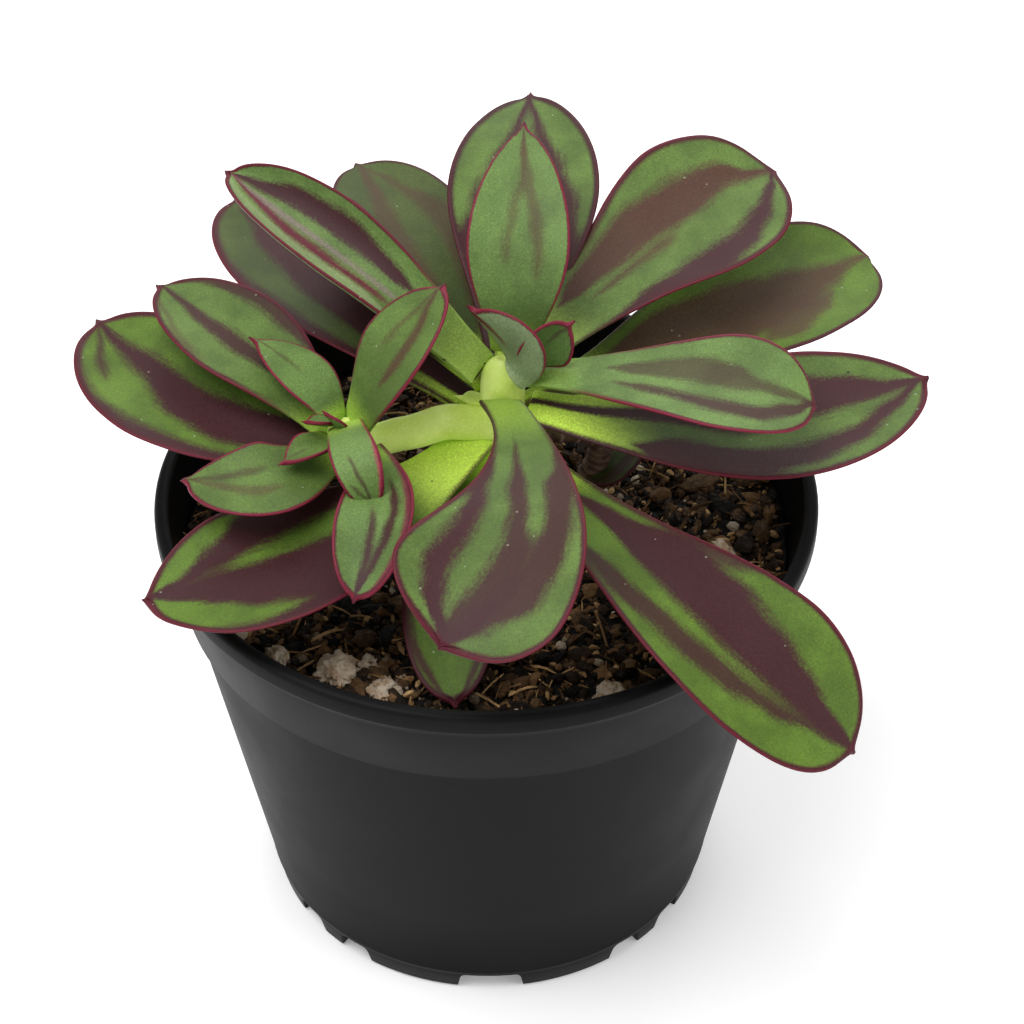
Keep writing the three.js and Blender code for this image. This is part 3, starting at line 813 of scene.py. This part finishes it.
# node, foot, middle, tip, shape, stripes, and how its face differs from the usual one
main_leaves = [
    ("leaf_right_front", (6, -2, 87), (33.5, -41.5, 86), (54.5, -55, 73),
     dict(width=29, belly=0.72, point=0.5, neck=1.1),
     [([(0.12, 0.1, 0.04), (0.25, 0.35, 0.28), (0.4, 0.42, 0.5), (0.55, 0.3, 0.42), (0.7, 0.2, 0.33),
        (0.82, 0.12, 0.27), (0.92, 0.05, 0.2), (1, 0, 0.15)], 1),
      ([(0.2, -1, 0.1), (0.4, -0.68, 0.2), (0.55, -0.5, 0.17), (0.7, -0.4, 0.16), (0.8, -0.3, 0.12),
        (0.9, -0.15, 0.06)], 0.92),
      ([(0.25, 0.95, 0.1), (0.5, 0.92, 0.14), (0.62, 1, 0)], 0.9)], dict(green=bright_green, band=1.1)),
    ("leaf_front_low", (1, -1.5, 87.5), (-5.5, -27, 81), (-5, -44.5, 73),
     dict(width=15.5, waist=0.4, belly=0.66, point=0.44),
     [([(0.4, 0.95, 0.2), (0.75, 0.9, 0.14), (0.95, 0.6, 0.12), (1, 0, 0.3)], 0.9),
      ([(0.4, -0.95, 0.2), (0.75, -0.9, 0.14), (0.95, -0.6, 0.12), (1, 0, 0.3)], 0.9)],
     dict(green=bright_green, band=0.9, rim=shaded_rim)),
    ("leaf_right_back", (6.5, 4, 91.5), (48.5, 25, 99), (64.5, 33.5, 101), dict(width=28.5, roll=8, point=0.5),
     [([(0.1, 0, 0.5), (0.3, 0, 0.75), (0.45, -0.02, 0.55), (0.62, -0.05, 0.36), (0.78, -0.04, 0.2),
        (0.9, 0, 0.08), (1, 0, 0.1)], 0.88),
      ([(0.45, -0.7, 0), (0.55, -0.6, 0.2), (0.68, -0.45, 0.14), (0.78, -0.3, 0)], 0.8)],
     dict(green=bright_green, purple=brown_purple, band=0.9, rim=shaded_rim)),
    ("leaf_left_front", (-1.5, 0, 90), (-30, -27, 86.5), (-52.5, -33, 85),
     dict(width=28.5, waist=0.3, belly=0.68),
     [([(0.25, -0.85, 0), (0.36, -0.8, 0.25), (0.5, -0.78, 0.3), (0.65, -0.64, 0.27), (0.8, -0.42, 0.2),
        (0.92, -0.2, 0.13), (1, 0, 0.12)], 1),
      ([(0.25, 0.4, 0), (0.38, 0.3, 0.4), (0.55, 0.32, 0.5), (0.7, 0.2, 0.37), (0.8, 0.05, 0.3), (0.9, 0, 0.2),
        (1, 0, 0.15)], 1),
      ([(0.28, 1, 0.05), (0.5, 0.88, 0.28), (0.75, 0.97, 0.14), (0.9, 1, 0.05)], 1)],
      dict(green=bright_green, stalk_end=0.34)),
    ("leaf_left_back", (-1.5, 5.5, 92), (-30, 34, 98), (-43.5, 56, 99), dict(width=24, roll=-5),
     [([(0.1, -0.1, 0.5), (0.5, -0.18, 0.5), (0.75, -0.15, 0.42), (0.88, -0.1, 0.22), (1, 0, 0.15)], 1),
      ([(0.2, 0.9, 0.1), (0.5, 0.9, 0.18), (0.75, 0.95, 0.08)], 1)], dict(green=shaded_green, band=1.5)),
    ("leaf_back_left", (1, 7, 94.5), (-12.5, 33.5, 106), (-22, 51, 109), dict(width=23),
     [([(0.2, 0.35, 0.3), (0.6, 0.25, 0.2), (0.85, 0.08, 0.12), (1, 0, 0.1)], 0.65),
      ([(0.2, -0.75, 0.3), (0.6, -0.62, 0.2), (0.85, -0.35, 0.08), (1, 0, 0.06)], 0.6)],
     dict(green=shaded_green, purple=brown_purple, band=0.7, rim=shaded_rim)),
    ("leaf_right_low", (6.5, 0.5, 95.5), (47, -3.5, 94.5), (71, 4.5, 98),
     dict(width=26.5, roll=12, belly=0.64, point=0.65),
     [([(0.22, -0.7, 0), (0.34, -0.7, 0.42), (0.5, -0.7, 0.3), (0.62, -0.6, 0.2), (0.75, -0.5, 0.17),
        (0.88, -0.3, 0.15), (1, 0, 0.15)], 1),
      ([(0.3, 0.3, 0.2), (0.5, 0.3, 0.42), (0.66, 0.32, 0.34), (0.8, 0.28, 0.28), (0.92, 0.15, 0.2),
        (1, 0, 0.15)], 1),
      ([(0.4, -1, 0.12), (0.65, -1, 0.08), (0.8, -1, 0)], 1)], dict(band=1.2, stalk_end=0.32)),
    ("leaf_back", (3, 7, 97), (6.5, 35, 112), (8, 60.5, 117), dict(width=26, point=0.62),
     [([(0.2, 0.8, 0.3), (0.4, 0.72, 0.3), (0.55, 0.5, 0.2), (0.7, 0.36, 0.15), (0.86, 0.2, 0.1),
        (1, 0, 0.12)], 1),
      ([(0.2, -0.8, 0.3), (0.4, -0.7, 0.26), (0.55, -0.55, 0.2), (0.7, -0.4, 0.13), (0.86, -0.2, 0.1),
        (1, 0, 0.12)], 1)],
     dict(band=1.3, rim=shaded_rim)),
    ("leaf_front", (2, -1.5, 98), (4, -39.5, 104.5), (-7, -58, 98),
     dict(width=28.5, waist=0.25, belly=0.84, point=0.45, neck=1.35),
     [([(0.26, -1, 0.08), (0.45, -0.86, 0.18), (0.57, -0.64, 0.15), (0.67, -0.57, 0.15), (0.8, -0.55, 0.15),
        (0.9, -0.45, 0.17), (1, 0, 0.25)], 1),
      ([(0.2, -0.3, 0), (0.32, -0.28, 0.07), (0.45, -0.13, 0.17), (0.57, 0.02, 0.15), (0.67, 0.14, 0.2),
        (0.8, 0.1, 0.2), (0.92, 0.05, 0.2), (1, 0, 0.2)], 0.95),
      ([(0.26, 1, 0.08), (0.36, 0.92, 0.2), (0.45, 0.66, 0.27), (0.57, 0.62, 0.2), (0.67, 0.52, 0.22),
        (0.8, 0.42, 0.24), (0.9, 0.22, 0.16),
        (1, 0, 0.1)], 0.95)], dict(stalk=(0.22, 0.34, 0.045, 1), stalk_end=0.28, band=1.1)),
    ("leaf_back_sliver", (-1.2, 5, 98.5), (-17.5, 20.5, 108), (-25.5, 39, 112), dict(width=11, waist=0.45),
     [([(0.1, 0, 0.9), (1, 0, 1)], 1)], dict(green=shaded_green, band=1.5)),
    ("leaf_left_folded", (-1, 3.5, 100.5), (-24, 16.5, 115.5), (-42, 32, 120),
     dict(width=17.5, fold=75, roll=-20, waist=0.45),
     [([(0.3, 0.85, 0), (0.45, 0.85, 0.3), (0.9, 0.85, 0.3), (1, 0.8, 0.2)], 0.7, (0.22, 0.27, 0.13, 1)),
      ([(0.28, -0.4, 0), (0.42, -0.4, 0.2), (0.6, -0.45, 0.27), (0.78, -0.4, 0.25), (0.92, -0.2, 0.18),
        (1, 0, 0.15)], 1),
      ([(0.3, 0.45, 0), (0.45, 0.4, 0.1), (0.7, 0.42, 0.13), (0.9, 0.25, 0.12), (1, 0, 0.15)], 1,
       (0.1, 0.016, 0.026, 1)),
      ([(0.25, 0.1, 0), (0.4, 0.12, 0.05), (0.8, 0.14, 0.06), (0.95, 0.1, 0.03)], 0.85, lavender)],
     dict(green=pale_green, band=0.5, stalk=(0.3, 0.44, 0.08, 1), stalk_end=0.3)),
    ("leaf_right_near", (6.5, 2, 101), (36, -9, 106), (51, -11.5, 104.5),
     dict(width=22.5, roll=5, belly=0.68, point=0.5),
     [([(0.2, 0.3, 0), (0.32, 0.3, 0.22), (0.5, 0.3, 0.3), (0.64, 0.22, 0.26), (0.75, 0.12, 0.12),
        (0.88, 0.08, 0.12), (1, 0, 0.1)], 0.72),
      ([(0.2, -0.3, 0), (0.4, -0.38, 0.11), (0.6, -0.45, 0.15), (0.75, -0.48, 0.17), (0.88, -0.35, 0.2),
        (1, 0, 0.2)], 0.92)],
     dict(green=pale_green, band=0.8, stalk=(0.2, 0.32, 0.06, 1), rim=soft_rim)),
    ("leaf_right_high", (6.2, 5, 101.5), (34, 29, 111.5), (48.5, 39, 115),
     dict(width=30, roll=10, belly=0.66, point=0.52, neck=1.1),
     [([(0.12, 0.5, 0), (0.22, 0.5, 0.3), (0.4, 0.42, 0.33), (0.6, 0.3, 0.28), (0.8, 0.3, 0.2),
        (0.92, 0.12, 0.12), (1, 0, 0.1)], 0.95, brown_purple),
      ([(0.16, -0.05, 0), (0.3, -0.08, 0.07), (0.45, -0.06, 0.07), (0.58, -0.02, 0)], 0.85, brown_purple),
      ([(0.18, -1, 0.05), (0.35, -0.92, 0.28), (0.5, -0.76, 0.24), (0.65, -0.65, 0.18), (0.8, -0.52, 0.14),
        (0.92, -0.35, 0.12), (1, 0, 0.12)], 1)],
     dict(band=1.4, stalk=(0.3, 0.42, 0.08, 1))),
    ("leaf_back_upright", (4.2, 6, 103), (5.5, 12.5, 121), (6.5, 29, 131),
     dict(width=16.8, waist=0.42, belly=0.55, point=0.68, thick=2),
     [([(0.35, -0.4, 0), (0.5, -0.4, 0.1), (0.65, -0.32, 0.13), (0.8, -0.15, 0.14), (0.92, -0.04, 0.12),
        (1, 0, 0.2)], 0.6, brown_purple),
      ([(0.4, 0.25, 0), (0.55, 0.24, 0.07), (0.68, 0.16, 0.1), (0.8, 0, 0.08), (0.9, 0, 0.1)], 0.5,
       brown_purple)],
     dict(green=pale_green, band=0.4, rim=soft_rim, stalk=(0.3, 0.42, 0.08, 1), stalk_end=0.25)),
    ("leaf_young_front", (4, -0.5, 103), (3.5, 0, 109), (-3, 3, 114),
     dict(width=12, fold=35, face=-120, roll=-15, waist=0.5, belly=0.55, thick=1.6),
     [([(0.5, 0, 0), (0.72, 0, 0.07), (0.86, 0, 0.16), (1, 0, 0.4)], 1, (0.12, 0.012, 0.03, 1))],
     dict(green=(0.2, 0.27, 0.13, 1), stalk=(0.3, 0.38, 0.2, 1), band=0.5, rim=soft_rim)),
    ("leaf_young_right", (6, 1, 104), (10, 0.5, 109), (14, 1.5, 112),
     dict(width=10.5, fold=45, face=100, waist=0.5, belly=0.55, point=0.6, thick=1.6),
     [([(0.5, 0.1, 0), (0.75, 0.1, 0.12), (1, 0, 0.2)], 0.6)],
     dict(green=(0.09, 0.16, 0.035, 1), band=0.6, rim=soft_rim, stalk_end=0.1)),
    ("leaf_low_sliver", (17, 4, 78.5), (21.5, 4, 80), (27.5, 6.5, 84), dict(width=8, thick=1.6),
     [([(0.1, -0.8, 0.3), (1, 0, 0.4)], 0.7)], dict(green=shaded_green, stalk=shaded_green, band=0.5,
         rim=shaded_rim)),
]


def grow_leaf(node_name, foot, middle, tip, shape, stripes, looks):
    """The leaf's mesh with its two faces, in place of its solid."""
    leaf = leaf_shape(node_name.replace("leaf_", "blade_"), foot, middle, tip, **shape)
    looks = {"green": green, "purple": purple, **looks}
    leaf.data.materials.append(leaf_face(node_name + "_face", stripes=stripes, **looks))
    leaf.data.materials.append(young_under if shape["width"] < 17 else under_skin)
    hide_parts(node_name)


for node_name, foot, middle, tip, shape, stripes, looks in main_leaves:
    grow_leaf(node_name, foot, middle, tip, shape, stripes, looks)

# ---------------------------------------------------------------------------
# Side rosette: the same kind of leaf, younger and smaller, round the end of the branch,
# with two folded ones still opening at its middle.
# ---------------------------------------------------------------------------
young_mark = [([(0.45, 0, 0), (0.8, 0, 0.08), (1, 0, 0.12)], 0.6)]
side_leaves = [
    ("side_leaf_left_low", (-24.8, -3.5, 91.5), (-48.5, 5, 95), (-65, 27, 94),
     dict(width=27, roll=-8, waist=0.35),
     [([(0.1, 0, 0.6), (0.35, 0.1, 0.45), (0.55, 0.12, 0.3), (0.75, -0.02, 0.2), (0.9, 0.03, 0.12),
        (1, 0, 0.1)], 1),
      ([(0.2, 1, 0.2), (0.5, 0.95, 0.22), (0.8, 0.95, 0.1)], 1),
      ([(0.35, -0.95, 0.2), (0.6, -0.9, 0.15), (0.8, -0.95, 0.08)], 0.9, brown_purple),
      ([(0.74, 0.62, 0), (0.84, 0.52, 0.09), (0.94, 0.3, 0.08), (1, 0, 0.08)], 0.85)],
      dict(green=bright_green, band=1.3)),
    ("side_leaf_left", (-24.2, -4, 94.5), (-39.5, 9.5, 102.5), (-54, 24.5, 103),
     dict(width=19, roll=-5, waist=0.35, point=0.6),
     [([(0.3, 0.05, 0), (0.45, 0.1, 0.16), (0.6, 0.14, 0.19), (0.75, 0.14, 0.15), (0.9, 0.08, 0.1),
        (1, 0, 0.1)], 0.95),
      ([(0.3, -1, 0.1), (0.55, -0.9, 0.22), (0.75, -0.85, 0.14), (0.9, -0.8, 0.05)], 0.9),
      ([(0.5, 0.9, 0), (0.7, 0.85, 0.07), (0.88, 0.7, 0.05)], 0.6, brown_purple)], dict(band=1.0)),
    ("side_leaf_near_left", (-24.5, -6, 93), (-35.5, -17.5, 95), (-47.5, -15, 94),
     dict(width=14.5, roll=-15, waist=0.4, belly=0.55, point=0.65),
     [([(0.45, -0.3, 0), (0.65, -0.3, 0.12), (0.85, -0.15, 0.1), (1, 0, 0.1)], 0.6),
      ([(0.4, 0.3, 0), (0.6, 0.28, 0.13), (0.82, 0.12, 0.12), (1, 0, 0.1)], 0.55, brown_purple)],
      dict(band=0.55, rim=soft_rim)),
    ("side_leaf_hanging", (-19, -6.5, 92), (-16.5, -29, 95.5), (-20, -40.5, 91),
     dict(width=14, fold=50, roll=10, waist=0.45, point=0.48),
     [([(0.42, -0.15, 0), (0.62, -0.1, 0.09), (0.8, -0.05, 0.12), (1, 0, 0.2)], 0.95),
      ([(0.25, 0.45, 0), (0.48, 0.48, 0.13), (0.65, 0.36, 0.14), (0.8, 0.2, 0.12), (1, 0, 0.15)], 0.95),
      ([(0.1, 1, 0.12), (0.5, 0.98, 0.2), (1, 0.9, 0.2)], 1, (0.13, 0.02, 0.035, 1))],
      dict(green=pale_green, band=0.7, rim=soft_rim)),
    ("side_leaf_back", (-20.5, -4, 95), (-13, -2.5, 110), (-6, 4.5, 117),
     dict(width=15.5, waist=0.45, belly=0.6),
     [([(0.3, -0.25, 0), (0.5, -0.3, 0.14), (0.72, -0.3, 0.14), (0.88, -0.1, 0.1), (1, 0, 0.1)], 0.8,
       brown_purple),
      ([(0.45, 0.42, 0), (0.65, 0.32, 0.07), (0.85, 0.14, 0.07), (1, 0, 0.08)], 0.55, brown_purple)],
      dict(band=0.6, rim=soft_rim)),
    ("side_leaf_upright", (-24, -4.5, 97), (-29.5, 0.5, 103), (-37.5, 6.5, 105.5),
     dict(width=10, waist=0.5, belly=0.55, point=0.75, thick=1.6), young_mark,
     dict(green=pale_green, band=0.3, rim=soft_rim)),
    ("side_leaf_front", (-22, -6, 97), (-19.5, -20, 100.5), (-17, -23, 94),
     dict(width=7.8, roll=10, waist=0.75, belly=0.55, point=0.45, thick=1.8),
     [([(0.4, -0.3, 0), (0.65, -0.18, 0.07), (0.85, 0, 0.09), (1, 0, 0.15)], 0.85),
      ([(0.7, -0.7, 0), (0.8, -0.5, 0.12), (0.92, -0.1, 0.08)], 0.6),
      ([(0.3, 1, 0.05), (0.6, 1, 0.2), (1, 0.9, 0.2)], 1, (0.24, 0.025, 0.05, 1))],
      dict(green=pale_green, band=0.4, rim=soft_rim)),
    ("side_leaf_small", (-24.5, -8, 96.5), (-28, -13.5, 98), (-32, -16.5, 98),
     dict(width=7, fold=45, waist=0.6, belly=0.5, point=0.7, thick=1.4), young_mark,
     dict(band=0.3, rim=soft_rim)),
    ("side_leaf_tiny_tall", (-22.8, -7.2, 97.5), (-23.5, -9.5, 101), (-25.3, -10, 103.5),
     dict(width=3.6, fold=45, waist=0.7, belly=0.45, point=0.8, thick=1), young_mark,
     dict(green=pale_green, band=0.25, rim=soft_rim)),
    ("side_leaf_tiny_low", (-24, -6, 98.2), (-26.2, -8.5, 100), (-28.5, -10.8, 102),
     dict(width=3.8, fold=45, waist=0.7, belly=0.45, point=0.7, thick=1), [],
     dict(green=pale_green, band=0.25, rim=soft_rim)),
]
for node_name, foot, middle, tip, shape, stripes, looks in side_leaves:
    grow_leaf(node_name, foot, middle, tip, shape, stripes,
              {"stalk": (0.3, 0.46, 0.06, 1), "stalk_end": 0.25, **looks})

# Bracts: two tiny pale scales, one on the crown above the branch, one where the branch ends.
bracts = [("bract_main", (-0.8, 3.2, 95), (-3, 3, 95.6), (-5, 3, 96.2), 3.6),
          ("bract_side", (-19, -2.5, 93.6), (-18, -1.4, 95), (-17.5, -0.6, 96.6), 3)]
for node_name, foot, middle, tip, width in bracts:
    scale = leaf_shape(node_name + "_scale", foot, middle, tip, width, waist=0.9, belly=0.5, thick=1.1)
    scale.data.materials.append(stem_skin)
    scale.data.materials.append(stem_skin)
    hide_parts(node_name)
